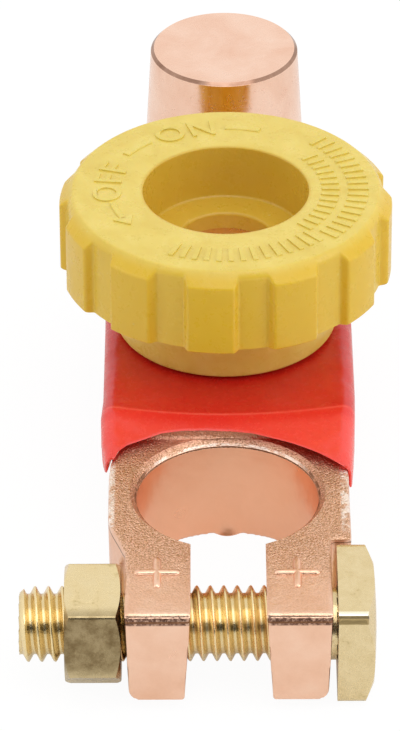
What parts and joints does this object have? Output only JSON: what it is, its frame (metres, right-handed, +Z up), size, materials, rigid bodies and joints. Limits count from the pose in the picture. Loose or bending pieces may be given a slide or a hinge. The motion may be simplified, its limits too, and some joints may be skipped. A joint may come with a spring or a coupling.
{
  "type": "battery disconnect switch",
  "caption": "Top-post battery disconnect switch: slotted post clamp with bolt and nut, insulated neck, screw knob contact and a rear battery post.",
  "frame": {"origin": "on the axis of the clamp's bore, at the clamp's underside", "axes": "+Z up along the bore's axis towards the knob's top side, +Y from the clamp to the rear post, +X along the clamp bolt from its nut to its square head"},
  "size_m": [0.0402, 0.0991, 0.0316],
  "materials": {
    "copper_cast": "copper-plated brass casting, grainy as cast",
    "copper_polished": "copper-plated brass, machined and polished",
    "brass": "yellow brass, machined, lightly tarnished",
    "spring_steel": "spring steel",
    "inner_insulation": "moulded phenolic",
    "red_sleeve": "soft glossy plastic sleeve",
    "yellow_knob": "moulded plastic, satin"
  },
  "bodies": {
    "base": {"clamp_terminal": "copper_cast", "post_terminal": "copper_polished", "insulating_plate": "inner_insulation", "insulating_bush": "inner_insulation", "tongue_rivets": "brass", "rivet_bushes": "inner_insulation", "insulating_sleeve": "red_sleeve"},
    "contact": {"contact_washer": "copper_polished"},
    "knob": {"knob": "yellow_knob", "contact_screw": "copper_polished", "spring_washer": "spring_steel", "contact_retaining_ring": "spring_steel"},
    "nut": {"clamp_nut": "brass"},
    "bolt": {"clamp_bolt": "brass"}
  },
  "joints": [
    {"name": "contact_lift", "type": "slide", "parent": "base", "child": "contact", "axis": [0, 0, 1], "range_m": [0, 0.0025]},
    {"name": "knob_turn", "type": "hinge", "parent": "contact", "child": "knob", "pos_m": [0, 0.03085, 0.0137], "axis": [0, 0, 1], "range_deg": [0, 720]},
    {"name": "nut_turn", "type": "hinge", "parent": "base", "child": "nut", "pos_m": [-0.01417, -0.01592, 0.00695], "axis": [1, 0, 0], "range_deg": [-1276, 128]},
    {"name": "bolt_slide", "type": "slide", "parent": "base", "child": "bolt", "axis": [1, 0, 0], "range_m": [-0.0005, 0.005]}
  ],
  "couplings": [
    {"joint": "knob_turn", "follows": "contact_lift", "rad_per_m": 5026.5},
    {"joint": "nut_turn", "follows": "bolt_slide", "rad_per_m": -4453}
  ]
}
